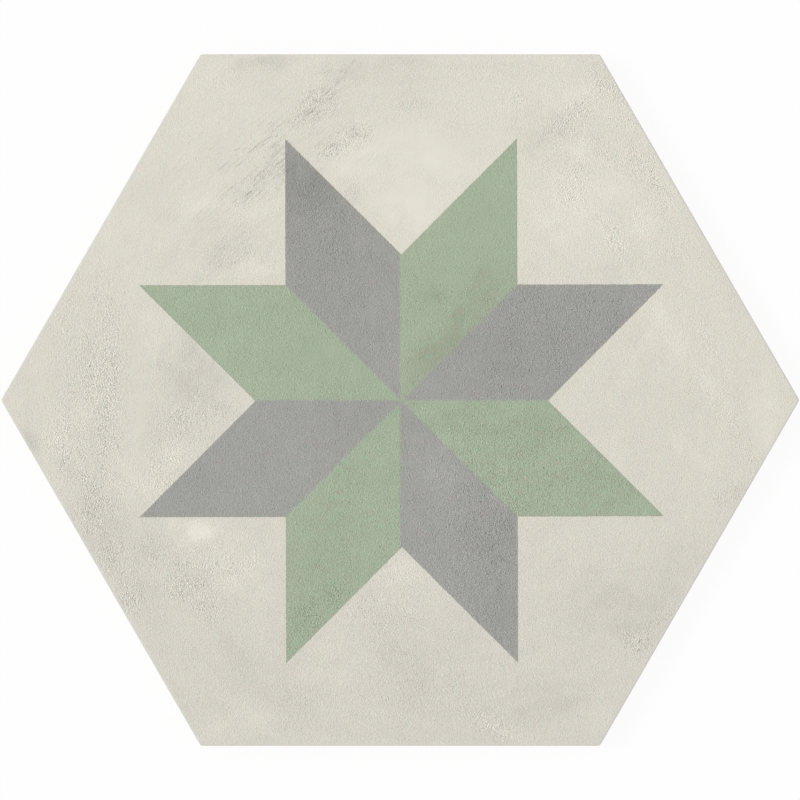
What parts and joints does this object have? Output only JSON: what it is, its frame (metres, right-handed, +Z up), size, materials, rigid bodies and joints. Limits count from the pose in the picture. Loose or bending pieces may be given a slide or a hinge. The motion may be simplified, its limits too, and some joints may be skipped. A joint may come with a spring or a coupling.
{
  "type": "hexagon floor tile",
  "caption": "Flat hexagonal floor tile with a printed star on its face, eased edges and a keyed back for adhesive.",
  "frame": {"origin": "centre of the foot, in the plane of the back's ribs that the tile lies on", "axes": "+Z up through the printed face, +X through two opposite corners, +Y through the middles of two opposite sides; the picture looks straight down with +X to the right and +Y up the picture"},
  "size_m": [0.2496, 0.2166, 0.01],
  "materials": {
    "porcelain": "matt, finely textured, with a printed star in grey and sage green"
  },
  "bodies": {
    "root": {"hexagon_tile": "porcelain"}
  },
  "joints": []
}
